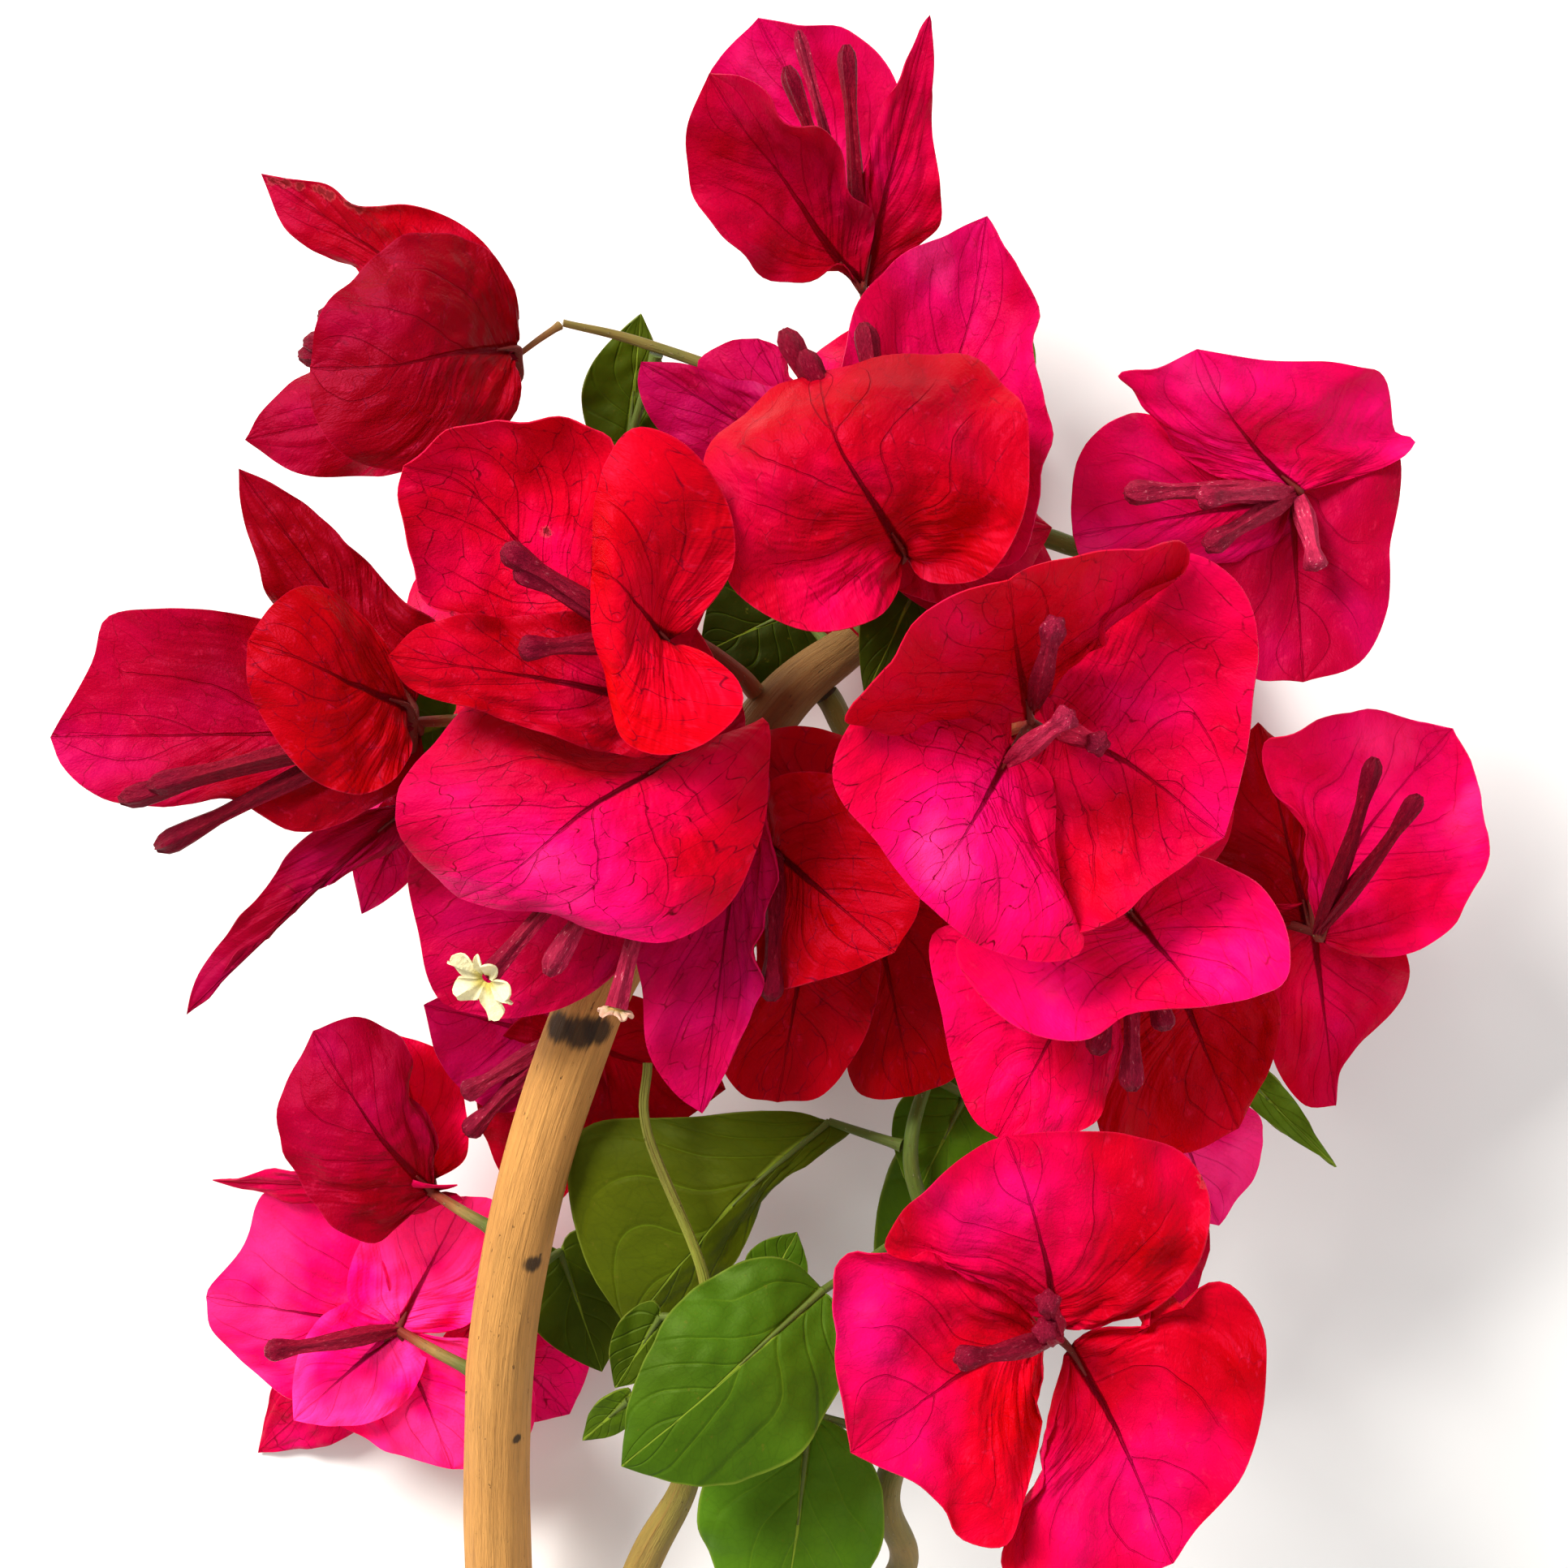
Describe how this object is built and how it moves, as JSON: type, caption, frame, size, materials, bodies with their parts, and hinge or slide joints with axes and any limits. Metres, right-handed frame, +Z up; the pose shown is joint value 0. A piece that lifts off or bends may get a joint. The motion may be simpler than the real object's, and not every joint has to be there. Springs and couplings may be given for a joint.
{
  "type": "cut flowering bougainvillea branch",
  "caption": "Cut flowering branch with papery red and magenta bracts round slim flower tubes, green leaves and a curved woody stem, lying on its back.",
  "frame": {"origin": "centre of the branch's bounding box, on the surface that it lies on", "axes": "+Y along the branch from its cut end to its top bloom, +X to the right as its blooms are faced, +Z up, the way the blooms face"},
  "size_m": [0.2158, 0.3014, 0.1239],
  "materials": {
    "bract": "thin papery bract, satin",
    "leaf": "leaf, semi-gloss",
    "bark": "smooth fibrous bark, matt",
    "green_stem": "young green stem, satin"
  },
  "bodies": {
    "root": {"main_stem": "bark", "second_stem": "bark", "third_stem": "green_stem", "twig_top": "green_stem", "twig_upper_left": "green_stem", "twig_upper_right": "green_stem", "twig_right": "green_stem", "twig_left": "green_stem", "twig_centre": "green_stem", "bloom_top": "bract", "bloom_upper_left": "bract", "bloom_crown": "bract", "bloom_upper_right": "bract", "bloom_centre_left": "bract", "bloom_left": "bract", "bloom_lower_left": "bract", "bloom_middle": "bract", "bloom_centre_right": "bract", "bloom_lower_right": "bract", "bloom_right": "bract", "bloom_bottom_right": "bract", "bloom_low_back": "bract", "bloom_low_front": "bract", "bloom_low_under": "bract", "bloom_stem_side": "bract", "bloom_right_back": "bract", "bloom_under_top": "bract", "bloom_under_left": "bract", "bloom_under_right": "bract", "leaf_crown": "leaf", "leaf_gap": "leaf", "leaf_behind": "leaf", "leaf_big": "leaf", "leaf_front": "leaf", "leaf_bottom": "leaf", "leaf_mid": "leaf", "leaf_dark": "leaf", "leaf_small": "leaf", "leaf_curl": "leaf", "leaf_right": "leaf", "leaf_top": "leaf", "leaf_under_crown": "leaf", "leaf_under_middle": "leaf", "leaf_under_low": "leaf"}
  },
  "joints": []
}
